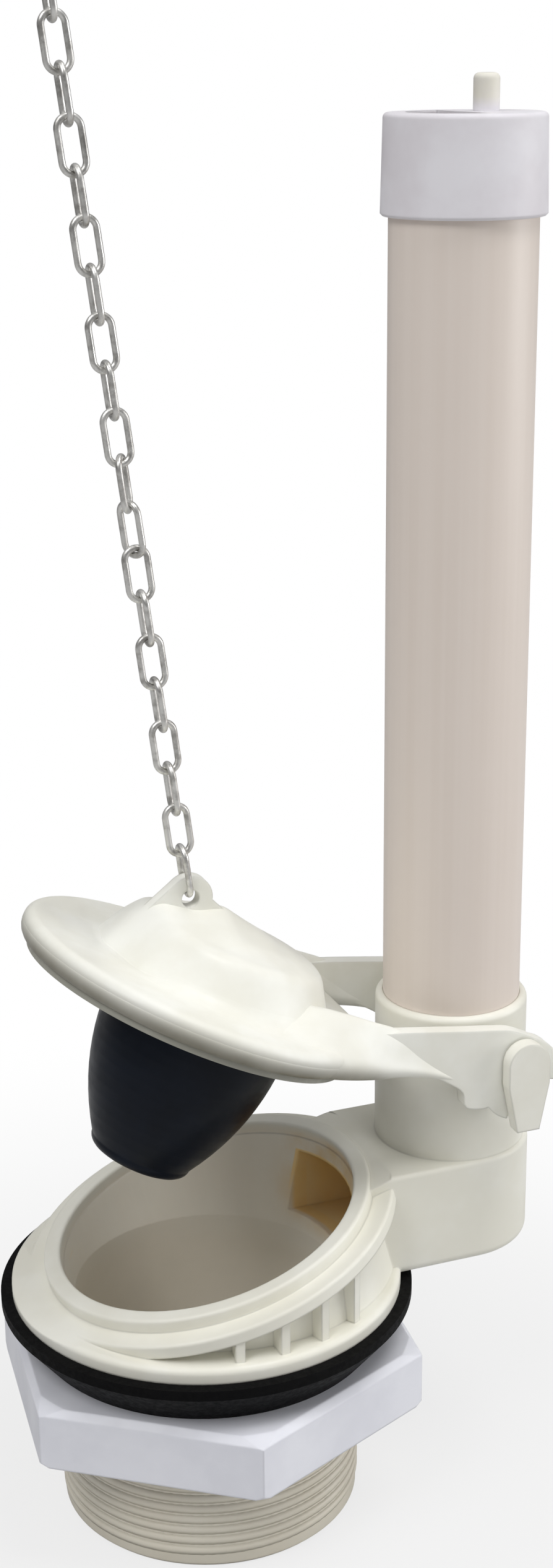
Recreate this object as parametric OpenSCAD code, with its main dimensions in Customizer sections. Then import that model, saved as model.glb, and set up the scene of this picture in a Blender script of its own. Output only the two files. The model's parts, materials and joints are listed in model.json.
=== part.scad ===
// Toilet flush valve: a threaded shank with a tilted seat, an overflow tube beside it,
// and a hinged flapper that a chain lifts. Millimetres, +Z up.
// The origin is the centre of the shank's open end, and +X points to the overflow tube.
// The flapper stands open, as the chain holds it.

/* [Shank and flange] */
// Diameter of the shank, between the root and the crest of its screw thread
shank_d = 58.9; // [57:0.1:60]
// Height of the screw thread's crest over that diameter
thread_h = 0.35; // [0.2:0.05:0.5]
// Wall of the shank
shank_wall = 3.45; // [2.6:0.05:4]
// Length of the shank, from its open end to the underside of the flange
shank_l = 46.2; // [40:0.1:60]
// Diameter of the flange that presses on the gasket
flange_d = 76.6; // [74:0.2:79]
// Thickness of the flange
flange_t = 3; // [2.4:0.1:4]

/* [Seat] */
// Tilt of the seat, which is highest beside the overflow tube
seat_tilt = 15.2; // [12:0.1:17]
// Height of the middle of the seat over the flange
seat_rise = 11.3; // [10.8:0.1:13]
// Inside diameter of the seat lip
seat_bore = 59.4; // [57:0.1:61]
// Width of the lip that the flapper closes on
lip_w = 3.4; // [2.4:0.1:4]
// Height of the lip over the shoulder around it
lip_h = 2.6; // [2:0.1:3]
// Width of the shoulder around the lip
shoulder_w = 4; // [3:0.1:5]
// Thickness of the shoulder ring
ring_t = 2.7; // [2:0.1:3.4]
// Thickness of each rib between the ring and the flange
rib_t = 1.8; // [1.2:0.1:2.4]
// Angle between neighbouring ribs
rib_pitch = 13.7; // [12:0.1:15]
// Angle from the overflow tube to the first rib on each side
rib_start = 58.5; // [54:0.5:62]
// Ribs on each side
rib_count = 4; // [2:1:4]

/* [Overflow] */
// Outside diameter of the overflow tube
tube_d = 27; // [25:0.1:29]
// Wall of the overflow tube
tube_wall = 1.6; // [1.2:0.1:2.2]
// Length of the overflow tube
tube_l = 191.4; // [120:0.5:260]
// Distance between the axes of the shank and the overflow tube
tube_offset = 52.4; // [51:0.1:56]
// Gap around the tube in its socket and under its cap
tube_fit = 0.05; // [0.02:0.01:0.1]
// Wall of the socket that the tube stands in
socket_wall = 1.45; // [1.2:0.05:2]
// Height of the socket over the overflow box
socket_h = 30.4; // [28:0.1:36]
// Height of the ledge in the socket that the tube stands on
socket_ledge = 4; // [2:0.5:8]
// Side wall of the overflow box outside the socket's wall
box_step = 0.9; // [0.5:0.1:2]
// Height of the overflow box
box_h = 21.8; // [20:0.1:23]
// Drop of the box's floor under the top of the flange
box_drop = 2.2; // [1:0.1:2.6]
// Wall of the overflow box
box_wall = 2; // [1.6:0.1:3]
// Radius of the box's lower edges
box_round = 2; // [1:0.5:4]

/* [Cap] */
// Height of the cap on the overflow tube
cap_h = 17.6; // [12:0.1:24]
// Wall of the cap at its top
cap_wall = 1; // [0.8:0.1:1.6]
// Extra wall at the open end of the cap
cap_flare = 0.4; // [0:0.1:0.8]
// Thickness of the cap's top
cap_top_t = 1.6; // [1.2:0.1:2.4]
// Diameter of the refill nipple
nipple_d = 4.7; // [4:0.1:6]
// Bore of the refill nipple
nipple_bore = 2.4; // [1.6:0.1:3]
// Height of the refill nipple over the cap
nipple_h = 6.5; // [5:0.1:12]
// Distance of the nipple from the tube's axis
nipple_offset = 4; // [3.4:0.1:6]
// Radius of the half-round overflow mouth in the cap's top
mouth_r = 10.5; // [8:0.1:11]

/* [Gasket and nut] */
// Largest diameter of the conical gasket
gasket_d = 81; // [76:0.2:86]
// Diameter of the gasket's lower end
gasket_foot_d = 68.4; // [66:0.2:72]
// Height of the gasket
gasket_h = 9.9; // [6:0.1:14]
// Height of the gasket's straight rim
gasket_rim_h = 2; // [1:0.1:3]
// Nut across its flats
nut_flats = 75.4; // [72:0.2:80]
// Height of the nut
nut_h = 12.5; // [8:0.1:16]
// Chamfer on the nut's corners
nut_chamfer = 1.6; // [0.8:0.1:2.4]
// Bevel along the nut's upper edges
nut_bevel = 1.4; // [0.6:0.1:2]
// Direction of one corner of the nut
nut_turn = 24; // [0:1:60]
// Gap around the thread in the nut and the gasket
thread_gap = 0.3; // [0.2:0.05:0.5]

/* [Hinge] */
// Distance of the hinge behind the axis of the overflow tube
hinge_back = 5.8; // [4:0.1:7]
// Distance of the hinge under the top of the socket
hinge_drop = 11.9; // [10.5:0.1:14]
// Diameter of each hinge pin
pin_d = 8; // [6:0.1:9]
// Gap around each pin in its hook
pin_gap = 0.06; // [0.03:0.01:0.1]
// Gap beside the arms, to the socket
arm_side_gap = 2; // [1:0.1:3]
// Gap between an arm and the head of its pin
head_gap = 0.4; // [0.3:0.1:0.8]
// Width of a pin's head
head_w = 8.6; // [8:0.1:11]
// Height of a pin's head over the pin's axis
head_up = 8.6; // [7:0.1:10]
// Depth of a pin's head under the pin's axis
head_down = 9.6; // [7:0.1:10]
// Thickness of a pin's head
head_t = 3; // [2:0.1:4]

/* [Flapper] */
// Angle that the flapper stands open
open_angle = 40.9; // [20:0.1:50]
// Gap between the closed seal and the seat
seat_gap = 0.3; // [0.2:0.05:0.5]
// Reach of the disc past the lip
disc_over = 1.5; // [0.8:0.1:2]
// Height of the disc's rim over the seal
disc_t = 2.8; // [2.6:0.1:4]
// Radius of the disc's upper edge
disc_round = 2; // [1:0.1:2.1]
// Diameter of the dome where it meets the disc
dome_d = 47; // [44:0.5:50]
// Diameter of the dome's top
dome_top_d = 38; // [34:0.5:42]
// Height of the dome over the disc
dome_h = 8.6; // [7:0.1:10]
// Radius of the dome's upper edge
dome_round = 2.6; // [1.6:0.1:3.4]
// Radius of the fillet around the dome's foot
dome_fillet = 4; // [2:0.5:5]
// Wall of the dome
dome_wall = 2.2; // [1.6:0.1:3]
// Thickness of the eye plate
eye_t = 2.4; // [2:0.1:2.6]
// Diameter of the hole in the eye
eye_hole_d = 3.4; // [3.2:0.1:3.8]
// Radius of the eye plate's round top
eye_r = 4.4; // [3.8:0.1:5]
// Distance of the eye from the disc's axis, towards the free edge
eye_offset = 8.2; // [7:0.1:10]
// Height of the eye's hole over the dome
eye_rise = 4.7; // [4:0.1:6]
// Length of the eye plate's foot in front of the hole
eye_front = 11.2; // [9:0.1:12]
// Length of the eye plate's foot behind the hole
eye_back = 21; // [12:0.5:24]
// Thickness of each arm
arm_t = 3; // [2.4:0.1:4]
// Radius of the hook around each pin
hook_r = 8.5; // [7:0.1:9]
// Half the angle of the hook's open mouth
hook_mouth = 50; // [40:1:60]
// Reach of the web between the arms past the disc's rim
web_reach = 1.2; // [0.6:0.1:2.4]
// Thickness of the web
web_t = 2.8; // [2:0.1:3.2]

/* [Seal and float] */
// Thickness of the flat seal
seal_t = 3.6; // [2.4:0.1:4]
// Distance of the seal's edge inside the disc's rim
seal_inset = 2.4; // [1.4:0.1:3]
// Distance of the float's axis from the disc's axis, towards the hinge
float_shift = 3.9; // [2:0.1:5]
// Diameter of the float's flange, which holds the seal
float_flange_d = 46; // [44:0.5:48]
// Thickness of the float's flange
float_flange_t = 1.4; // [1:0.1:2]
// Diameter of the float at its top
float_top_d = 36.6; // [35:0.2:39]
// Diameter of the float at its lower end
float_foot_d = 20.4; // [16:0.2:24]
// Fullness of the float's side
float_swell = 2.2; // [1.6:0.1:3]
// Depth of the float under the seal
float_depth = 32; // [24:0.5:34]
// Wall of the float
float_wall = 1.8; // [1.2:0.1:2.4]
// Diameter of the vent hole in the float's lower end
float_vent_d = 3.4; // [2:0.1:3.8]

/* [Chain] */
// Diameter of the chain's wire
wire_d = 1.2; // [1:0.05:1.3]
// Inside length of a link
link_l = 8.3; // [7.5:0.1:10]
// Inside width of a link
link_w = 3; // [2.8:0.1:3.4]
// Slack between two links
link_gap = 0.12; // [0.05:0.01:0.2]
// Slack of the first link in the eye
eye_gap = 0.5; // [0.45:0.01:0.6]
// Number of links
links = 20; // [6:1:24]
// Lean of the chain away from the overflow tube
chain_lean = 7.3; // [0:0.1:12]
// Link after which the chain is twisted
twist_after = 8; // [2:1:16]
// Links over which the twist is spread
twist_links = 3; // [2:1:6]
// Twist of the chain
twist = 90; // [0:5:90]
// Radius of the hook at the chain's upper end
clip_r = 4.5; // [3.5:0.1:6]
// Length of the hook's straight shank
clip_l = 9; // [6:0.5:14]

/* [Hidden] */
$fn = 64;
eps = 0.01;
shank_r = shank_d / 2;
bore_r = shank_r - shank_wall;
flange_r = flange_d / 2;
flange_top = shank_l + flange_t;
edge_round = 1.2;
shank_chamfer = 0.8;
funnel_r = bore_r - 0.25;
funnel_z = shank_l - 2.2;

seat_z = flange_top + seat_rise;
seat_r = seat_bore / 2;
lip_r = seat_r + lip_w;
ring_r = lip_r + shoulder_w;
lip_round = 0.6;
ring_round = 0.6;

tube_r = tube_d / 2;
socket_r = tube_r + tube_fit;
neck_r = socket_r + socket_wall;
box_r = neck_r + box_step;
box_z = flange_top - box_drop;
box_top = box_z + box_h;
box_edge = 0.8;
passage_r = box_r - box_wall;
passage_floor = box_z + box_wall;
passage_top = box_top - box_wall;
socket_floor = box_top + socket_ledge;
socket_top = box_top + socket_h;

tube_top = socket_floor + tube_l;
cap_top = tube_top + tube_fit + cap_top_t;
cap_r = socket_r + cap_wall;
cap_round = 0.9;
cap_edge = 0.4;
mouth_gap = 0.6;
nipple_round = 1;

thread_r = shank_r + thread_h + thread_gap;
gasket_z = shank_l - gasket_h;
nut_z = gasket_z - nut_h;

hinge_x = tube_offset + hinge_back;
hinge_z = socket_top - hinge_drop;
pin_r = pin_d / 2;
arm_y = neck_r + arm_side_gap;
head_y = arm_y + arm_t + head_gap;
head_toe = 0.55;

// Hinge axis seen from the closed disc, whose origin is under its seal
closed_x = -seat_gap * sin(seat_tilt);
closed_z = seat_z + seat_gap * cos(seat_tilt);
hinge_s = (hinge_x - closed_x) * cos(seat_tilt) + (hinge_z - closed_z) * sin(seat_tilt);
hinge_h = (hinge_z - closed_z) * cos(seat_tilt) - (hinge_x - closed_x) * sin(seat_tilt);

disc_r = lip_r + disc_over;
disc_top = seal_t + disc_t;
rim_round = 0.4;
dome_r = dome_d / 2;
dome_top_r = dome_top_d / 2;
dome_top = disc_top + dome_h;
dome_draft = atan2(dome_r - dome_top_r, dome_h - dome_round);
dome_foot_r = dome_r + dome_fillet * (1 - sin(dome_draft)) / cos(dome_draft);
slab = 0.5;
half = 0.49;
eye_h = dome_top + eye_rise;
eye_hole_r = eye_hole_d / 2;
eye_brow = 35;
eye_neck = 15;
seal_r = disc_r - seal_inset;
seal_fit = 0.1;
spigot_wall = 1.6;
spigot_r = float_top_d / 2 + spigot_wall;
chamber_r = float_top_d / 2 - float_wall;
float_round = 2;
float_steps = 12;
arm_root = disc_r / 2;
arm_up = 4.5;
arm_ease = 2;
arm_low = seal_t + seal_fit;
// Corners of an arm, seen from the hinge axis: its upper edge, then its toe and lower edge
arm_upper = [[-28, 1.9], [-16, 5.6], [-6.5, 8.6]];
arm_toe = [[-4, -7.7], [-9.3, -9.2], [-10.6, -5.8], [-16.4, -4.9], [-22, -4.9], [-28, -5.7]];
mouth_turn = -35;

wire_r = wire_d / 2;
bend_r = (link_w + wire_d) / 2;
link_pitch = link_l - link_gap;
first_link = eye_hole_r - wire_r - eye_gap + (link_l + wire_d) / 2;
flap_tilt = open_angle - seat_tilt;
eye_x = hinge_x - (hinge_s + eye_offset) * cos(flap_tilt) + (eye_h - hinge_h) * sin(flap_tilt);
eye_z = hinge_z + (hinge_s + eye_offset) * sin(flap_tilt) + (eye_h - hinge_h) * cos(flap_tilt);
clip_bend = bend_r + link_gap;
// The hook's loop ends inside its own shank, this far off the shank's axis
clip_seam = 0.793;
clip_loop = 360 - acos(1 - clip_seam / clip_bend);
clip_turn = 215;

function two(n) = n < 10 ? str("0", n) : str(n);
function link_name(n) = str("chain_link_", two(n));
function link_roll(n) = 90 * n + twist * max(0, min(1, (n - twist_after) / twist_links));
function arc(c, r, from, to, steps = 8) =
    [for (i = [0 : steps]) let (a = from + (to - from) * i / steps) c + r * [cos(a), sin(a)]];
// A point on the way from b to a, at most half of the way
function towards(b, a, cut) = b + (a - b) * min(cut / norm(a - b), half);
// The corners of an outline, each made round over the given length of its sides
function eased(ps, cut, steps = 4) = let (n = len(ps))
    [for (i = [0 : n - 1], k = [0 : steps]) let (
        b = ps[i],
        p = towards(b, ps[(i + n - 1) % n], cut),
        q = towards(b, ps[(i + 1) % n], cut),
        t = k / steps)
        (1 - t) * (1 - t) * p + 2 * t * (1 - t) * b + t * t * q];

// Places the seat's own frame: its plane is the lip's top, and its axis is the seat's axis
module at_seat() {
    translate([0, 0, seat_z]) rotate([0, -seat_tilt, 0]) children();
}

// Places the flapper's own frame at the angle that it stands open
module at_flapper() {
    translate([hinge_x, 0, hinge_z]) rotate([0, flap_tilt, 0]) translate([-hinge_s, 0, -hinge_h]) children();
}

// Places the chain's own frame, whose axis runs up the chain from the eye
module at_chain() {
    translate([eye_x, 0, eye_z]) rotate([0, -chain_lean, 0]) children();
}

// Stands a flat outline up in the X-Z plane, half its depth to each side
module upright(depth) {
    translate([0, depth / 2, 0]) rotate([90, 0, 0]) linear_extrude(depth) children();
}

// Repeats a shape on both sides of the X-Z plane
module both_sides(y) {
    for (side = [-1, 1]) translate([0, side * y, 0]) children();
}

module shank_and_flange() {
    rotate_extrude() polygon(concat(
        [[0, 0], [shank_r - shank_chamfer, 0], [shank_r, shank_chamfer], [shank_r, shank_l], [flange_r, shank_l]],
        arc([flange_r - edge_round, flange_top - edge_round], edge_round, 0, 90),
        [[0, flange_top]]));
}

// Everything over the flange that follows the tilt of the seat
module seat_ring() {
    low = -lip_h - ring_t;
    rotate_extrude() polygon(concat(
        [[0, -seat_z], [lip_r, -seat_z], [lip_r, low], [ring_r, low]],
        arc([ring_r - ring_round, -lip_h - ring_round], ring_round, 0, 90, 4),
        [[lip_r, -lip_h]],
        arc([lip_r - lip_round, -lip_round], lip_round, 0, 90, 4),
        arc([seat_r + lip_round, -lip_round], lip_round, 90, 180, 4),
        [[0, -lip_round]]));
}

module seat_ribs() {
    for (side = [-1, 1], i = [0 : rib_count - 1])
        rotate([0, 0, side * (rib_start + i * rib_pitch)])
            translate([0, -rib_t / 2, 0]) cube([ring_r - ring_round, rib_t, seat_z * 2]);
}

// The tilted seat, its ring and the ribs, standing on the flange
module seat() {
    intersection() {
        union() {
            at_seat() seat_ring();
            intersection() {
                seat_ribs();
                at_seat() translate([0, 0, -seat_z]) cylinder(r = ring_r, h = seat_z - lip_h - ring_t / 2);
            }
        }
        translate([0, 0, shank_l]) cylinder(r = flange_r, h = seat_z);
    }
}

// Half of the section across the overflow box
module box_section() {
    polygon(concat(
        [[0, box_z]],
        arc([box_r - box_round, box_z + box_round], box_round, -90, 0),
        arc([box_r - box_edge, box_top - box_edge], box_edge, 0, 90, 4),
        [[0, box_top]]));
}

module overflow_box() {
    difference() {
        union() {
            translate([tube_offset, 0, 0]) rotate_extrude() box_section();
            rotate([90, 0, 90]) linear_extrude(tube_offset) {
                box_section();
                mirror([1, 0]) box_section();
            }
        }
        at_seat() translate([0, 0, -box_edge]) cylinder(r = ring_r, h = box_h);
    }
}

module socket() {
    translate([tube_offset, 0, 0]) rotate_extrude() polygon(concat(
        [[0, passage_top], [neck_r, passage_top]],
        arc([neck_r - edge_round, socket_top - edge_round], edge_round, 0, 90, 6),
        [[0, socket_top]]));
}

module pin_head() {
    upright(head_t) {
        translate([0, head_up - head_w / 2]) circle(d = head_w);
        polygon([
            [-head_w / 2, head_up - head_w / 2], [-head_w / 2, 0], [-head_w / 2 * head_toe, -head_down],
            [head_w / 2 * head_toe, -head_down], [head_w / 2, 0], [head_w / 2, head_up - head_w / 2]]);
    }
}

module hinge_pins() {
    translate([hinge_x, 0, hinge_z]) {
        translate([0, head_y, 0]) rotate([90, 0, 0]) cylinder(r = pin_r, h = 2 * head_y);
        both_sides(head_y + head_t / 2) pin_head();
    }
}

// The way for the water, from the overflow tube into the throat
module overflow_passage() {
    intersection() {
        translate([0, -passage_r, passage_floor])
            cube([tube_offset, 2 * passage_r, passage_top - passage_floor]);
        at_seat() translate([0, 0, -seat_z]) cylinder(r = seat_z + tube_offset, h = seat_z - lip_h - ring_t);
    }
    translate([tube_offset, 0, passage_floor]) cylinder(r = passage_r, h = passage_top - passage_floor);
    translate([tube_offset, 0, passage_floor]) cylinder(r = tube_r - tube_wall, h = socket_top);
    translate([tube_offset, 0, socket_floor]) cylinder(r = socket_r, h = socket_top);
}

// A point around the seat's axis, at a radius and at a height over the lip's top
function seat_point(a, r, h) = [
    r * cos(a) * cos(seat_tilt) - h * sin(seat_tilt),
    r * sin(a),
    seat_z + r * cos(a) * sin(seat_tilt) + h * cos(seat_tilt)];

// The wall that opens out from the round bore to the tilted seat
module throat_funnel() {
    n = $fn;
    low = [for (i = [0 : n - 1]) let (a = 360 * i / n) [funnel_r * cos(a), funnel_r * sin(a), funnel_z]];
    high = [for (i = [0 : n - 1]) seat_point(360 * i / n, seat_r - eps, slab - lip_h)];
    polyhedron(concat(low, high), concat(
        [[for (i = [0 : n - 1]) i]],
        [[for (i = [n - 1 : -1 : 0]) n + i]],
        [for (i = [0 : n - 1]) [i, n + i, n + (i + 1) % n]],
        [for (i = [0 : n - 1]) [i, n + (i + 1) % n, (i + 1) % n]]));
}

module throat() {
    translate([0, 0, -eps]) cylinder(r = bore_r, h = shank_l);
    throat_funnel();
    at_seat() translate([0, 0, -lip_h]) cylinder(r = seat_r, h = seat_z);
}

module valve_body() {
    color("ivory") difference() {
        union() {
            difference() {
                shank_and_flange();
                at_seat() translate([0, 0, -lip_h]) cylinder(r = 2 * flange_r, h = seat_z);
            }
            seat();
            overflow_box();
            socket();
            hinge_pins();
        }
        throat();
        overflow_passage();
    }
}

module overflow_tube() {
    color("bisque") translate([tube_offset, 0, socket_floor]) difference() {
        cylinder(r = tube_r, h = tube_l);
        translate([0, 0, -eps]) cylinder(r = tube_r - tube_wall, h = tube_l + 2 * eps);
    }
}

module cap_shell() {
    rotate_extrude() polygon(concat(
        [[socket_r, cap_top - cap_h], [cap_r + cap_flare - cap_edge, cap_top - cap_h]],
        [[cap_r + cap_flare, cap_top - cap_h + cap_edge]],
        arc([cap_r - cap_round, cap_top - cap_round], cap_round, 0, 90, 6),
        [[0, cap_top], [0, cap_top - cap_top_t], [socket_r, cap_top - cap_top_t]]));
}

module nipple() {
    r = nipple_d / 2;
    translate([nipple_offset, 0, cap_top - cap_top_t]) rotate_extrude() polygon(concat(
        [[0, 0], [r, 0]],
        arc([r - nipple_round, cap_top_t + nipple_h - nipple_round], nipple_round, 0, 90, 6),
        [[0, cap_top_t + nipple_h]]));
}

module tube_cap() {
    color("white") translate([tube_offset, 0, 0]) difference() {
        union() {
            cap_shell();
            nipple();
        }
        translate([nipple_offset, 0, cap_top - 2 * cap_top_t]) cylinder(d = nipple_bore, h = 2 * cap_top_t + nipple_h);
        intersection() {
            translate([0, 0, cap_top - cap_h]) cylinder(r = mouth_r, h = 2 * cap_h);
            translate([-2 * mouth_r - mouth_gap, -mouth_r, 0]) cube([2 * mouth_r, 2 * mouth_r, 2 * cap_top]);
        }
    }
}

module shank_gasket() {
    color([0.07, 0.07, 0.07]) translate([0, 0, gasket_z]) rotate_extrude() polygon([
        [thread_r, 0], [gasket_foot_d / 2, 0], [gasket_d / 2, gasket_h - gasket_rim_h],
        [gasket_d / 2, gasket_h], [thread_r, gasket_h]]);
}

module mounting_nut() {
    corner_r = nut_flats / 2 / cos(30);
    color("ghostwhite") translate([0, 0, nut_z]) difference() {
        intersection() {
            rotate([0, 0, nut_turn]) {
                cylinder(r = corner_r, h = nut_h - nut_bevel, $fn = 6);
                translate([0, 0, nut_h - nut_bevel])
                    cylinder(r1 = corner_r, r2 = corner_r - nut_bevel, h = nut_bevel, $fn = 6);
            }
            rotate_extrude() polygon([
                [0, 0], [corner_r - nut_chamfer / 2, 0], [corner_r, nut_chamfer / 2],
                [corner_r, nut_h - nut_chamfer], [corner_r - 2 * nut_chamfer, nut_h], [0, nut_h]]);
        }
        translate([0, 0, -eps]) cylinder(r = thread_r, h = nut_h + 2 * eps);
    }
}

module disc() {
    rotate_extrude() polygon(concat(
        [[0, seal_t]],
        arc([disc_r - rim_round, seal_t + rim_round], rim_round, -90, 0, 4),
        arc([disc_r - disc_round, disc_top - disc_round], disc_round, 0, 90),
        [[0, disc_top]]));
}

module dome() {
    translate([float_shift, 0, 0]) rotate_extrude() polygon(concat(
        [[0, seal_t], [dome_foot_r, seal_t]],
        arc([dome_foot_r, disc_top + dome_fillet], dome_fillet, -90, dome_draft - 180),
        arc([dome_top_r - dome_round, dome_top - dome_round], dome_round, dome_draft, 90),
        [[0, dome_top]]));
}

// The hollow in the dome, which opens into the float
module dome_hollow() {
    translate([float_shift, 0, seal_t - eps])
        cylinder(r1 = chamber_r, r2 = dome_top_r - dome_round - dome_wall, h = dome_top - dome_wall - seal_t);
}

// The plate that stands on the dome, with a hole for the chain
module eye() {
    upright(eye_t) translate([-eye_offset, eye_h]) {
        circle(r = eye_r);
        polygon([
            eye_r * [-cos(eye_brow), sin(eye_brow)], [-eye_front, disc_top + dome_fillet / 4 - eye_h],
            [0, -eye_rise - slab],
            [eye_back, -eye_rise - slab], eye_r * [cos(eye_neck), sin(eye_neck)]]);
    }
}

// Outline of one arm: from its root on the disc, over the web, to the hook on the hinge pin
module arm_outline() {
    difference() {
        union() {
            polygon(eased(concat(
                [[arm_root, arm_low], [arm_root, disc_top + arm_up], [disc_r - arm_up, disc_top + arm_up - slab]],
                [for (p = arm_upper) [hinge_s, hinge_h] + p],
                [[hinge_s, hinge_h + hook_r], [hinge_s, hinge_h]],
                [for (p = arm_toe) [hinge_s, hinge_h] + p],
                [[disc_r - arm_ease, arm_low]]), arm_ease));
            translate([hinge_s, hinge_h]) circle(r = hook_r);
        }
        translate([hinge_s, hinge_h]) {
            circle(r = pin_r + pin_gap);
            rotate(mouth_turn) polygon([
                [0, 0], 2 * hook_r * [cos(hook_mouth), -sin(hook_mouth)], [3 * hook_r, 0],
                2 * hook_r * [cos(hook_mouth), sin(hook_mouth)]]);
        }
    }
}

module web() {
    translate([arm_root, -arm_y - eps, seal_t + eps])
        cube([disc_r + web_reach - arm_root, 2 * arm_y + 2 * eps, web_t]);
}

module flapper_frame() {
    color("floralwhite") at_flapper() difference() {
        union() {
            disc();
            dome();
            eye();
            both_sides(arm_y + arm_t / 2) upright(arm_t) arm_outline();
            web();
        }
        dome_hollow();
        translate([-eye_offset, eye_t, eye_h]) rotate([90, 0, 0]) cylinder(r = eye_hole_r, h = 2 * eye_t);
    }
}

module seat_seal() {
    color("lightgray") at_flapper() difference() {
        cylinder(r = seal_r, h = seal_t);
        translate([float_shift, 0, -eps]) cylinder(r = spigot_r + seal_fit, h = seal_t + 2 * eps);
    }
}

// A point on the side of the float, from its top to its lower end, moved in by the wall
function float_side(u, wall) = [
    (float_top_d - (float_top_d - float_foot_d) * pow(u, float_swell)) / 2 - wall,
    -float_flange_t - u * (float_depth - float_flange_t - float_round)];

module flapper_float() {
    color([0.1, 0.12, 0.14]) at_flapper() translate([float_shift, 0, 0]) rotate_extrude() polygon(concat(
        [[chamber_r, seal_t], [spigot_r, seal_t], [spigot_r, 0], [float_flange_d / 2, 0]],
        [[float_flange_d / 2, -float_flange_t]],
        [for (i = [0 : float_steps - 1]) float_side(i / float_steps, 0)],
        arc([float_foot_d / 2 - float_round, float_round - float_depth], float_round, 0, -90, 6),
        [[float_vent_d / 2, -float_depth], [float_vent_d / 2, float_wall - float_depth]],
        [[float_foot_d / 2 - float_wall, float_wall - float_depth]],
        [for (i = [float_steps - 1 : -1 : 0]) float_side(i / float_steps, float_wall)]));
}

// Half a ring of wire in the X-Z plane, open downwards
module bend(r, wire, turn = 180) {
    rotate([90, 0, 0]) rotate_extrude(angle = turn) translate([r, 0]) circle(r = wire);
}

module chain_link() {
    straight = link_l - link_w;
    for (side = [-1, 1])
        translate([side * bend_r, 0, -straight / 2]) cylinder(r = wire_r, h = straight);
    translate([0, 0, straight / 2]) bend(bend_r, wire_r);
    translate([0, 0, -straight / 2]) mirror([0, 0, 1]) bend(bend_r, wire_r);
}

module place_link(n) {
    at_chain() translate([0, 0, first_link + (n - 1) * link_pitch]) rotate([0, 0, link_roll(n)])
        color("silver") chain_link();
}

// An S-hook of one wire: a loop through the last link, a straight shank and an open hook
module chain_hook() {
    last = first_link + (links - 1) * link_pitch;
    loop_z = last + link_l / 2 - link_gap - wire_r + clip_bend;
    at_chain() translate([0, 0, loop_z]) rotate([0, 0, link_roll(links + 1)]) color("silver") {
        mirror([0, 0, 1]) bend(clip_bend, wire_r, clip_loop);
        translate([clip_bend, 0, 0]) cylinder(r = wire_r, h = clip_l);
        translate([clip_bend - clip_r, 0, clip_l]) bend(clip_r, wire_r, clip_turn);
    }
}

valve_body();
overflow_tube();
tube_cap();
shank_gasket();
mounting_nut();
flapper_frame();
seat_seal();
flapper_float();
chain_hook();
for (n = [1 : links])
    place_link(n);
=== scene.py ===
"""Looks of the toilet flush valve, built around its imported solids. Metres, +Z up."""

import json
import math

import bpy
from mathutils import Matrix, Vector


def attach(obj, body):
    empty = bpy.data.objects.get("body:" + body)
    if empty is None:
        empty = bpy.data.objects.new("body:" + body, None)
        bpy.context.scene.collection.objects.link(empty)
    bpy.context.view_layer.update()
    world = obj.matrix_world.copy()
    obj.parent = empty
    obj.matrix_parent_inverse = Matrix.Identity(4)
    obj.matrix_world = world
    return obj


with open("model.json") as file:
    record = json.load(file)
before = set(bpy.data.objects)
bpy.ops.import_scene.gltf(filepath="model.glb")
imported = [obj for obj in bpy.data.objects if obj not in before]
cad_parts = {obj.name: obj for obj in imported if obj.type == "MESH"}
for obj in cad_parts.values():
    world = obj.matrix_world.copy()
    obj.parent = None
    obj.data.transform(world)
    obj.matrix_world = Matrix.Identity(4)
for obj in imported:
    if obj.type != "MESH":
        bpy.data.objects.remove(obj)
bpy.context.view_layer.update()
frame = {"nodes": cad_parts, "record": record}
scene = bpy.context.scene
nodes = frame["nodes"]

# Sizes that the solids also have, in metres
SHANK_R = 0.02945
SHANK_L = 0.0462
SEAT_Z = 0.0605
SEAT_TILT = math.radians(15.2)
BORE_R = 0.0272
MOUTH_R = 0.0300
PASSAGE_R = 0.0145
PASSAGE_LOW, PASSAGE_HIGH = SHANK_L + 0.0021, SHANK_L + 0.0216
TUBE_X = 0.0524
CAP_TOP = 0.26585
HINGE = (0.0582, 0.0873)
FLAP_TILT = math.radians(25.7)
# The hinge axis seen from the disc: along the disc, and over the underside of its seal
HINGE_S, HINGE_H = 0.0631906, 0.010303

# The thread's ridge, which the solids lack
THREAD_H = 0.00035
THREAD_PITCH = 0.002309
THREAD_END = 0.0022

# Sizes of the flapper in mm, with heights over the underside of its seal
DISC_FLAT_R = 32.6
DISC_ROUND = 2.0
DISC_H = 6.4
DOME_S = 3.9
DOME_R = 23.5
DOME_H = 15.0
DOME_DRAFT = 0.75
# A surface that must stay hidden lies this far under another
HAIR = 0.08


def srgb(r, g, b):
    """Linear colour from 0-255 display values."""
    def lin(v):
        v /= 255
        return v / 12.92 if v <= 0.04045 else ((v + 0.055) / 1.055) ** 2.4
    return lin(r), lin(g), lin(b), 1.0


# Materials

def connect(tree, node, inputs):
    """Links each input of a node to a socket, or sets it to a value."""
    for key, value in inputs.items():
        if isinstance(value, bpy.types.NodeSocket):
            tree.links.new(value, node.inputs[key])
        else:
            node.inputs[key].default_value = value


def add(tree, kind, inputs=None, **settings):
    """A new shader node with its settings and inputs. Gives its outputs."""
    node = tree.nodes.new("ShaderNode" + kind)
    for key, value in settings.items():
        setattr(node, key, value)
    connect(tree, node, inputs or {})
    return node.outputs


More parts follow.
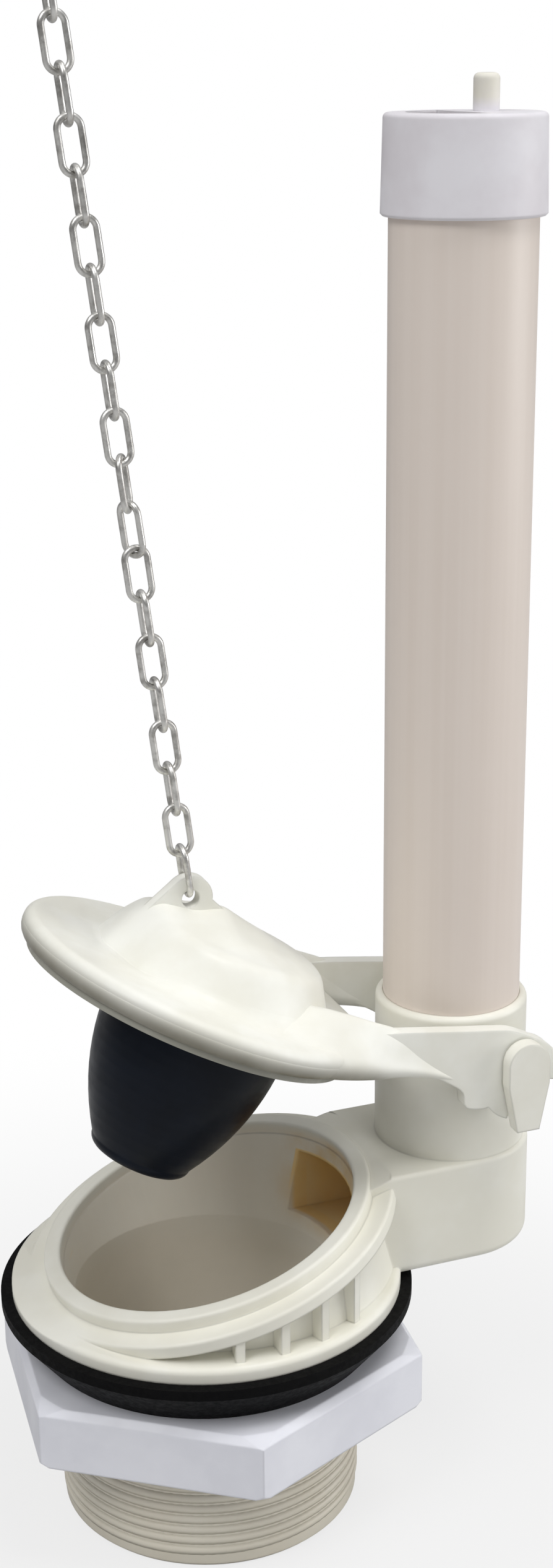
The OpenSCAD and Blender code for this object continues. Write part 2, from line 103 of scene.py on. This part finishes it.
class Graph:
    """A material's node tree, with short calls for the nodes that are used here."""

    def __init__(self, name):
        self.material = bpy.data.materials.new(name)
        self.material.use_nodes = True
        self.tree = self.material.node_tree
        self.coords = add(self.tree, "TexCoord")["Object"]

    def stretch(self, x, y, z):
        return add(self.tree, "Mapping", {"Vector": self.coords, "Scale": (x, y, z)})["Vector"]

    def noise(self, scale, detail=3.0, rough=0.55, vector=None):
        return add(self.tree, "TexNoise", {"Vector": vector or self.coords, "Scale": scale,
                                           "Detail": detail, "Roughness": rough})["Fac"]

    def span(self, value, low, high, to_low=0.0, to_high=1.0):
        """A soft step between two values."""
        return add(self.tree, "MapRange", {"Value": value, "From Min": low, "From Max": high,
                                           "To Min": to_low, "To Max": to_high},
                   interpolation_type="SMOOTHSTEP")["Result"]

    def under(self, value, low, high):
        """1 up to the lower limit, and 0 from the higher one."""
        return self.span(value, low, high, 1.0, 0.0)

    def cloud(self, scale, detail, low, high, high_at=0.7):
        """Slow noise that runs between two values."""
        return self.span(self.noise(scale, detail), 0.3, high_at, low, high)

    def math(self, operation, a, b=0.0):
        return add(self.tree, "Math", {0: a, 1: b}, operation=operation)[0]

    def plus(self, a, b):
        return self.math("ADD", a, b)

    def minus(self, a, b):
        return self.math("SUBTRACT", a, b)

    def either(self, a, b):
        return self.math("MAXIMUM", a, b)

    def times(self, first, *others):
        for value in others:
            first = self.math("MULTIPLY", first, value)
        return first

    def axes(self):
        return add(self.tree, "SeparateXYZ", {0: self.coords})

    def mix(self, factor, a, b):
        return add(self.tree, "Mix", {"Factor": factor, "A": a, "B": b}, data_type="RGBA")["Result"]

    def bump(self, height, strength, distance, normal=None):
        inputs = {"Height": height, "Strength": strength, "Distance": distance}
        if normal:
            inputs["Normal"] = normal
        return add(self.tree, "Bump", inputs)["Normal"]

    def soft_edges(self, radius):
        return add(self.tree, "Bevel", {"Radius": radius}, samples=6)["Normal"]

    def finish(self, color, roughness, normal, sheen=0.5, metallic=0.0):
        """Gives the material, once its shader has its inputs."""
        connect(self.tree, self.tree.nodes["Principled BSDF"],
                {"Base Color": color, "Roughness": roughness, "Normal": normal,
                 "Specular IOR Level": sheen, "Metallic": metallic})
        return self.material


def moulded(name, light, dark, rough=(0.3, 0.44), blotch=45, grain=1500, sheen=0.35, edge=0.0006,
            tint=None):
    """Moulded plastic: slow colour drift, fine pits, and a roughness that varies with them."""
    g = Graph(name)
    drift = g.span(g.noise(blotch, 4), 0.35, 0.68)
    fine = g.noise(grain, 2)
    color = g.mix(drift, dark, light)
    color = g.mix(g.span(fine, 0.25, 0.5, 0.05, 0.0), color, dark)
    if tint:
        color = tint(g, color)
    wave = g.noise(140, 2)
    normal = g.bump(wave, 0.06, 0.0003, g.bump(fine, 0.08, 0.00006, g.soft_edges(edge)))
    return g.finish(color, g.cloud(260, 3, *rough), normal, sheen=sheen)


def stains_and_painted_shade(g, color):
    """Water stain in the overflow passage and on the throat's wall round its mouth, painted shade in
    the throat, and a shank that is darker and warmer all over.
    """
    x, y, z = g.axes()
    across = g.math("ABSOLUTE", y)

    def distance(from_axis):
        return g.math("SQRT", g.plus(g.times(from_axis, from_axis), g.times(y, y)))

    radius = distance(x)
    # Height over the tilted seat
    lean = g.plus(g.times(x, -math.sin(SEAT_TILT)), g.times(g.minus(z, SEAT_Z), math.cos(SEAT_TILT)))

    # The throat, up to just under the seat's lip
    bore = g.under(radius, BORE_R, BORE_R + 0.0004)
    mouth = g.times(g.under(radius, MOUTH_R, MOUTH_R + 0.0006),
                    g.span(z, SHANK_L + 0.0004, SHANK_L + 0.001))
    throat = g.times(g.either(bore, mouth), g.under(lean, -0.0026, -0.0002))

    # The overflow passage: its round end, sides, floor and roof, and the roof's slope near the seat
    end = g.either(g.under(x, TUBE_X - 0.001, TUBE_X),
                   g.under(distance(g.minus(x, TUBE_X)), PASSAGE_R, PASSAGE_R + 0.0003))
    wide = g.under(across, PASSAGE_R, PASSAGE_R + 0.0003)
    tall = g.times(g.span(z, PASSAGE_LOW, PASSAGE_LOW + 0.0003),
                   g.under(z, PASSAGE_HIGH - 0.0003, PASSAGE_HIGH))
    covered = g.either(g.under(lean, -0.0050, -0.0047), g.span(x, 0.0395, 0.0400))
    passage = g.times(end, wide, tall, covered, g.span(radius, BORE_R, BORE_R + 0.001))

    # The throat's wall round the mouth of the passage
    near = g.times(g.span(x, 0.010, 0.026), g.under(across, 0.010, 0.021),
                   g.span(z, SHANK_L - 0.002, SHANK_L + 0.006))
    shank = g.under(z, SHANK_L - 0.008, SHANK_L - 0.001)

    # The shank a little darker and warmer all over
    color = g.mix(g.times(shank, g.cloud(36, 3, 0.6, 0.9, 0.75)), color, srgb(222, 214, 196))
    # Painted shade in the throat: a little darker and warmer than the plastic
    color = g.mix(g.times(throat, g.cloud(70, 4, 0.6, 0.9, 0.75)), color, srgb(240, 233, 219))
    color = g.mix(g.times(throat, near, g.cloud(110, 4, 0.15, 0.75)), color, srgb(226, 190, 124))
    return g.mix(g.times(passage, g.cloud(60, 3, 0.7, 0.95)), color, srgb(250, 210, 128))


def warm_nipple(g, color):
    """The cap's plastic, warmer on the nipple that stands on it."""
    over = g.span(g.axes()["Z"], CAP_TOP, CAP_TOP + 0.003)
    return g.mix(g.times(over, g.cloud(200, 3, 0.7, 1.0)), color, srgb(229, 226, 213))


def painted_rim_shade(g, color):
    """The flapper's plastic, with painted shade on the lower side of its disc's rim: darker and
    browner towards the bottom.
    """
    x, _, z = g.axes()
    dx, dz = g.minus(x, HINGE[0]), g.minus(z, HINGE[1])
    turn, lift = math.cos(FLAP_TILT), math.sin(FLAP_TILT)
    over = g.plus(g.times(dx, lift), g.times(dz, turn))
    ahead = g.minus(g.times(dx, turn), g.times(dz, lift))
    side = g.under(over, 0.0016 - HINGE_H, 0.0062 - HINGE_H)
    disc = g.under(ahead, 0.030 - HINGE_S, 0.044 - HINGE_S)
    # Painted shade: the lower part of the rim's side, darker and browner towards the bottom
    return g.mix(g.times(side, disc, g.cloud(50, 4, 0.75, 1.0, 0.75)), color, srgb(116, 111, 95))


def drawn_pipe(name, light, dark):
    """Extruded pipe: lengthwise draw lines in its colour, gloss and surface."""
    g = Graph(name)
    lines = g.noise(420, 2, vector=g.stretch(1, 1, 0.012))
    drift = g.span(g.noise(24, 3), 0.35, 0.68)
    color = g.mix(g.span(lines, 0.2, 0.8), dark, light)
    color = g.mix(g.times(drift, 0.5), color, light)
    normal = g.bump(lines, 0.08, 0.00006, g.bump(g.noise(1800, 2), 0.05, 0.00004))
    return g.finish(color, g.span(lines, 0.25, 0.75, 0.3, 0.46), normal, sheen=0.4)


def rubber(name, light, dark, rough=(0.6, 0.85), pit=900, depth=0.25, sheen=0.25):
    """Rubber: matt, finely pitted, with paler rubbed places."""
    g = Graph(name)
    pits = g.noise(pit, 4, 0.65)
    rubbed = g.span(g.noise(90, 4), 0.5, 0.75)
    color = g.mix(g.times(rubbed, g.span(pits, 0.35, 0.65)), dark, light)
    return g.finish(color, g.span(pits, 0.3, 0.7, *rough), g.bump(pits, depth, 0.00015), sheen=sheen)


def wire(name, light, dark):
    """Drawn steel wire: dull, with darker spots and fine scratches."""
    g = Graph(name)
    spots = g.span(g.noise(380, 4, 0.6), 0.42, 0.7)
    scratch = g.noise(900, 2, vector=g.stretch(1, 1, 0.15))
    color = g.mix(spots, light, dark)
    return g.finish(color, g.span(scratch, 0.3, 0.7, 0.26, 0.5), g.bump(scratch, 0.2, 0.00004),
                    metallic=1.0)


LOOKS = {
    # The ivory plastic carries water stains, and painted shade in the throat
    "ivory_plastic": moulded("ivory plastic", srgb(241, 240, 231), srgb(233, 231, 219),
                             tint=stains_and_painted_shade),
    "beige_plastic": drawn_pipe("beige pipe", srgb(229, 218, 209), srgb(224, 212, 202)),
    "white_plastic": moulded("white plastic", srgb(231, 229, 234), srgb(221, 217, 222),
                             rough=(0.42, 0.56), blotch=60, tint=warm_nipple),
    "black_rubber": rubber("black rubber", srgb(14, 14, 14), srgb(5, 5, 6),
                           rough=(0.55, 0.75), sheen=0.1),
    "cool_white_plastic": moulded("cool white plastic", srgb(238, 239, 246), srgb(229, 230, 238),
                                  blotch=55),
    # The flapper's plastic carries painted shade on the lower side of its disc's rim
    "flapper_plastic": moulded("flapper plastic", srgb(241, 241, 234), srgb(233, 232, 222),
                               blotch=60, tint=painted_rim_shade),
    "grey_rubber": rubber("grey rubber", srgb(184, 183, 174), srgb(162, 161, 151),
                          pit=1300, depth=0.15),
    "dark_plastic": moulded("dark plastic", srgb(16, 23, 35), srgb(9, 14, 23),
                            rough=(0.28, 0.4), sheen=0.15),
    "chain_steel": wire("chain steel", srgb(224, 223, 220), srgb(172, 170, 166)),
}

for part in frame["record"]["subparts"]:
    data = nodes[part["node"]].data
    data.materials.clear()
    data.materials.append(LOOKS[part["material_slot"]])


# Pieces

def mesh_piece(name, points, faces, material):
    """A smooth mesh object."""
    mesh = bpy.data.meshes.new(name)
    mesh.from_pydata(points, [], faces)
    mesh.update()
    for polygon in mesh.polygons:
        polygon.use_smooth = True
    mesh.materials.append(material)
    piece = bpy.data.objects.new(name, mesh)
    scene.collection.objects.link(piece)
    return piece


def thread(name, root, height, pitch, low, high, material, steps=96):
    """A screw thread: one ridge wound round the Z axis, faded in and out at its ends."""
    count = int((high - low) / pitch * steps)
    # The ridge takes this part of a turn to reach its height
    fade_steps = 0.6 * steps
    # Places across the ridge's section and its heights there, as parts of the pitch and the height
    section = [(-0.48, -0.12), (-0.30, 0.28), (-0.12, 0.88), (-0.05, 1.0),
               (0.05, 1.0), (0.12, 0.88), (0.30, 0.28), (0.48, -0.12)]
    points, faces = [], []
    for i in range(count + 1):
        angle = 2 * math.pi * i / steps
        fade = min(1.0, i / fade_steps, (count - i) / fade_steps)
        for across, up in section:
            r = root + height * (up * fade if up > 0 else up)
            z = low + pitch * (i / steps + across)
            points.append((r * math.cos(angle), r * math.sin(angle), z))
    n = len(section)
    for i in range(count):
        for k in range(n):
            a, b = i * n + k, i * n + (k + 1) % n
            faces.append((a, a + n, b + n, b))
    faces.append(tuple(range(n)))
    faces.append(tuple(count * n + k for k in reversed(range(n))))
    return mesh_piece(name, points, faces, material)


ridge = thread("shank_thread", SHANK_R, THREAD_H, THREAD_PITCH, THREAD_END, SHANK_L - THREAD_END,
               LOOKS["ivory_plastic"])
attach(ridge, "valve")


def flapper_point(s, y, h):
    """A place on the flapper, given in mm along, across and over its disc's underside."""
    ds, dh = s / 1000 - HINGE_S, h / 1000 - HINGE_H
    turn, lift = math.cos(FLAP_TILT), math.sin(FLAP_TILT)
    return HINGE[0] + ds * turn + dh * lift, y / 1000, HINGE[1] - ds * lift + dh * turn


def disc_top(s, y):
    """Height of the flapper's disc and of a dome at its middle, a hair under their surface."""
    r = math.hypot(s, y)
    if r >= DISC_FLAT_R + DISC_ROUND:
        return 0.0
    if r >= DISC_FLAT_R:
        rise = math.sqrt(max(0.0, DISC_ROUND ** 2 - (r - DISC_FLAT_R) ** 2))
        return DISC_H - DISC_ROUND + rise - HAIR
    return max(DISC_H, min(DOME_H, DISC_H + (DOME_R - r) / DOME_DRAFT)) - HAIR


def blended(a, b, reach):
    """The larger of two heights, with a soft hollow where they meet."""
    near = max(reach - abs(a - b), 0.0) / reach
    return max(a, b) + near * near * reach / 4


def along(table, s):
    """Values at one place of a table of stations, on smooth curves through them."""
    i = max(k for k in range(len(table) - 1) if table[k][0] <= s)
    rows = [table[max(0, min(len(table) - 1, i + k))] for k in (-1, 0, 1, 2)]
    step = rows[2][0] - rows[1][0]
    t = (s - rows[1][0]) / step
    values = []
    for k in range(1, len(rows[0])):
        m0 = (rows[2][k] - rows[0][k]) / max(rows[2][0] - rows[0][0], step) * step
        m1 = (rows[3][k] - rows[1][k]) / max(rows[3][0] - rows[1][0], step) * step
        values.append((2 * t ** 3 - 3 * t ** 2 + 1) * rows[1][k] + (t ** 3 - 2 * t ** 2 + t) * m0
                      + (3 * t ** 2 - 2 * t ** 3) * rows[2][k] + (t ** 3 - t ** 2) * m1)
    return values


def arm_fairing(name, side, material, stations=64, across=18, under=6):
    """The swelling that runs from the disc's rim and top into the root of one arm."""
    # In mm: place along the arm, its inner side, ridge and outer side, and the heights of its
    # underside, of its edge and of its ridge
    table = [
        (6.0, 8.0, 12.5, 32.6, 3.0, 4.6, 6.5),
        (12.0, 11.0, 15.0, 31.6, 1.8, 5.2, 9.4),
        (17.0, 13.0, 17.2, 29.8, 1.4, 5.7, 11.3),
        (22.0, 14.5, 18.2, 27.3, 1.2, 6.0, 11.9),
        (28.0, 15.2, 18.5, 24.4, 1.4, 6.3, 12.0),
        (33.0, 15.6, 18.5, 22.7, 2.2, 6.6, 12.1),
        (38.0, 16.3, 18.5, 21.4, 3.5, 7.2, 11.6),
        (44.0, 16.9, 18.5, 20.5, 4.8, 7.4, 9.8),
        (50.0, 17.2, 18.5, 19.9, 5.6, 7.0, 7.8),
    ]
    # Most rounding of the inner and outer edge in mm, and the most of the width that it takes
    inner_round, outer_round, round_share = 1.2, 2.4, 0.9
    # Reach of the blend into the disc at the edges, and how much more it has at the ridge
    edge_blend, ridge_blend = 0.3, 5.7
    foot_inset = 0.3
    points, faces = [], []
    for i in range(stations):
        s = table[0][0] + (table[-1][0] - table[0][0]) * i / stations
        inner, mid, outer, low, edge, ridge = along(table, s)
        side_h = low + 0.5 * (edge - low)
        section = []
        for k in range(-across, across + 1):
            width, limit = (mid - inner, inner_round) if k < 0 else (outer - mid, outer_round)
            # Closer together towards the rounded edge
            t = math.sin(math.pi / 2 * abs(k) / across)
            over = max(0.0, 1 - (1 - t) * width / min(limit, round_share * width))
            h = (side_h + (edge - side_h) * math.sqrt(max(0.0, 1 - over * over))
                 + (ridge - edge) * (1 + math.cos(math.pi * t)) / 2)
            y = mid + math.copysign(t, k) * width
            section.append((y, blended(h, disc_top(s, y), edge_blend + ridge_blend * (1 - t) ** 2)))
        turn_in = min(outer_round, round_share * (outer - mid))
        for k in range(1, under + 1):
            bend = math.pi / 2 * k / under
            section.append((outer - turn_in * (1 - math.cos(bend)),
                            side_h - (side_h - low) * math.sin(bend)))
        section.append((inner + foot_inset, low))
        points += [flapper_point(s, side * y, h) for y, h in section]
    n = len(points) // stations
    for i in range(stations - 1):
        for k in range(n):
            a, b = i * n + k, i * n + (k + 1) % n
            faces.append((a, b, b + n, a + n) if side < 0 else (a, a + n, b + n, b))
    ends = [tuple(reversed(range(n))), tuple(len(points) - n + k for k in range(n))]
    faces += ends if side < 0 else [tuple(reversed(f)) for f in ends]
    return mesh_piece(name, points, faces, material)


def rim_bead(name, material, steps=180):
    """The rounded lower edge of the flapper's disc, round the outside of its seal."""
    # Radius and height in mm
    section = [(33.4, 4.5), (34.5, 4.4), (34.61, 4.2), (34.62, 3.7), (34.5, 3.0),
               (34.2, 2.3), (33.7, 1.7), (33.0, 1.3), (32.3, 1.15), (31.7, 1.15)]
    points, faces = [], []
    n = len(section)
    for i in range(steps):
        angle = 2 * math.pi * i / steps
        points += [flapper_point(r * math.cos(angle), r * math.sin(angle), h) for r, h in section]
        for k in range(n):
            a, b, j = i * n + k, i * n + (k + 1) % n, (i + 1) % steps * n
            faces.append((a, b, j + (k + 1) % n, j + k))
    return mesh_piece(name, points, faces, material)


def dome_roof(name, material, steps=180):
    """The dome's soft top, which rises like a tent to the eye for the chain."""
    # Radius and height of the dome round its own axis, a hair over its solid, in mm
    profile = [(0.0, 17.0), (6.0, 16.85), (11.0, 16.35), (15.0, 15.5), (17.2, 14.98), (18.6, 14.05),
               (19.5, 12.72), (20.5, 11.05), (21.5, 9.35), (22.6, 7.3), (24.5, 4.4)]
    # The unseen underside, inside the wall
    underside = [(24.0, 4.0), (21.0, 7.5), (15.5, 13.6)]
    ring_step, foot_r = 0.5, 24.49
    # The eye plate's front and back edges: a place on each, its height and its slope
    front_s, front_h, front_slope = -19.4, 7.7, 1.95
    back_s, back_h, back_slope = -3.95, 21.19, -0.3785
    # The tent's height under the eye's hole, and where it rises from there to the back edge
    hole_h, rise_from, rise_to = 17.0, -7.0, 1.0
    # The tent's crest and its slope to both sides, and how it drops behind and beside
    crest_r, side_slope = 1.5, 0.5
    end_s, end_drop = 8.0, 0.08
    shoulder_y, shoulder_drop = 9.0, 0.12
    soft = 5.0

    def height(s, y):
        t = max(0.0, min(1.0, (s - rise_from) / (rise_to - rise_from)))
        behind = (hole_h + (back_h - hole_h + back_slope * (s - back_s)) * t * t * (3 - 2 * t)
                  - end_drop * max(0.0, s - end_s) ** 2)
        before = front_h + front_slope * (s - front_s)
        tent = (-blended(-behind, -before, soft) - side_slope * (math.hypot(y, crest_r) - crest_r)
                - shoulder_drop * max(0.0, abs(y) - shoulder_y) ** 2)
        return blended(along(profile, math.hypot(s - DOME_S, y))[0], tent, soft)

    rings = [(ring_step * k, None) for k in range(1, int(foot_r / ring_step) + 1)]
    rings += [(foot_r, None)] + underside
    points, faces = [flapper_point(DOME_S, 0, height(DOME_S, 0))], []
    for r, h in rings:
        for i in range(steps):
            angle = 2 * math.pi * i / steps
            s, y = DOME_S + r * math.cos(angle), r * math.sin(angle)
            points.append(flapper_point(s, y, height(s, y) if h is None else h))
    for i in range(steps):
        j = (i + 1) % steps
        faces.append((0, 1 + i, 1 + j))
        for k in range(len(rings) - 1):
            a, b = 1 + k * steps, 1 + (k + 1) * steps
            faces.append((a + i, b + i, b + j, a + j))
    faces.append(tuple(len(points) - steps + i for i in reversed(range(steps))))
    return mesh_piece(name, points, faces, material)


flapper_pieces = [arm_fairing("arm_fairing_near", -1, LOOKS["flapper_plastic"]),
                  arm_fairing("arm_fairing_far", 1, LOOKS["flapper_plastic"]),
                  rim_bead("rim_bead", LOOKS["flapper_plastic"]),
                  dome_roof("dome_roof", LOOKS["flapper_plastic"])]
for piece in flapper_pieces:
    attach(piece, "flapper")


# Floor and light

WHITE = (1, 1, 1, 1)
FLOOR_GREY = (0.55, 0.55, 0.55, 1)
# Distances from the middle between which the floor fades, and how white it is at the first
FADE_FROM, FADE_TO, FADE_START = 0.06, 0.22, 0.75
# The sky's strength from just under the horizon to overhead
SKY_LOW, SKY_HIGH, SKY_FROM = 0.1, 0.67, -0.2


def pale_floor():
    """A pale floor that fades to white away from the object, as the camera sees it."""
    material = bpy.data.materials.new("pale floor")
    material.use_nodes = True
    tree = material.node_tree
    tree.nodes.clear()
    away = add(tree, "VectorMath", {0: add(tree, "TexCoord")["Object"]}, operation="LENGTH")["Value"]
    fade = add(tree, "MapRange", {"Value": away, "From Min": FADE_FROM, "From Max": FADE_TO,
                                  "To Min": FADE_START}, interpolation_type="SMOOTHSTEP")["Result"]
    seen = add(tree, "Math", {0: add(tree, "LightPath")["Is Camera Ray"], 1: fade},
               operation="MULTIPLY")[0]
    pale = add(tree, "BsdfDiffuse", {"Color": FLOOR_GREY})[0]
    glow = add(tree, "Emission", {"Color": WHITE})[0]
    surface = add(tree, "MixShader", {"Fac": seen, 1: pale, 2: glow})[0]
    add(tree, "OutputMaterial", {"Surface": surface})
    return material


def studio_world():
    """White to the camera, and a soft sky that is brighter overhead to the object."""
    world = bpy.data.worlds.new("studio")
    world.use_nodes = True
    tree = world.node_tree
    tree.nodes.clear()
    up = add(tree, "SeparateXYZ", {0: add(tree, "TexCoord")["Generated"]})["Z"]
    sky = add(tree, "MapRange", {"Value": up, "From Min": SKY_FROM,
                                 "To Min": SKY_LOW, "To Max": SKY_HIGH})["Result"]
    path = add(tree, "LightPath")
    direct = add(tree, "Math", {0: path["Is Camera Ray"], 1: path["Is Transmission Ray"]},
                 operation="MAXIMUM", use_clamp=True)[0]
    fill = add(tree, "Background", {"Color": WHITE, "Strength": sky})[0]
    white = add(tree, "Background", {"Color": WHITE})[0]
    surface = add(tree, "MixShader", {"Fac": direct, 1: fill, 2: white})[0]
    add(tree, "OutputWorld", {"Surface": surface})
    return world


def lamp(name, place, target, size, power):
    """A round soft lamp that points at a target."""
    data = bpy.data.lights.new(name, "AREA")
    data.shape = "DISK"
    data.size = size
    data.energy = power
    obj = bpy.data.objects.new(name, data)
    obj.location = place
    obj.rotation_euler = (Vector(target) - Vector(place)).to_track_quat("-Z", "Y").to_euler()
    scene.collection.objects.link(obj)


bpy.ops.mesh.primitive_plane_add(size=6, location=(0, 0, 0))
floor = bpy.context.object
floor.name = "floor"
floor.data.materials.append(pale_floor())
scene.world = studio_world()
lamp("key light", (0.3, -0.35, 1.3), (0.02, 0, 0.12), size=0.6, power=5.2)
lamp("top light", (-0.65, -0.4, 1.0), (0.02, 0, 0.08), size=0.5, power=4.3)
lamp("side light", (1.2, -0.45, 0.24), (0, 0, 0.1), size=0.9, power=6.8)

# Camera at the photo's place
CAMERA_PLACE = (-0.126396, -0.370384, 0.277861)
azimuth, elevation, roll = (math.radians(v) for v in (-20.995, 18.315, -0.533))
back = Vector((math.sin(azimuth) * math.cos(elevation), -math.cos(azimuth) * math.cos(elevation),
               math.sin(elevation)))
level = Vector((math.cos(azimuth), math.sin(azimuth), 0))
upright = back.cross(level)
right = math.cos(roll) * level + math.sin(roll) * upright
up = math.cos(roll) * upright - math.sin(roll) * level
camera = bpy.data.cameras.new("camera")
camera.lens = 51.542
camera.sensor_width = 36
camera.clip_start = 0.01
camera_object = bpy.data.objects.new("camera", camera)
turn = Matrix((right, up, back)).transposed().to_4x4()
camera_object.matrix_world = Matrix.Translation(CAMERA_PLACE) @ turn
scene.collection.objects.link(camera_object)
scene.camera = camera_object

scene.view_settings.view_transform = "Standard"
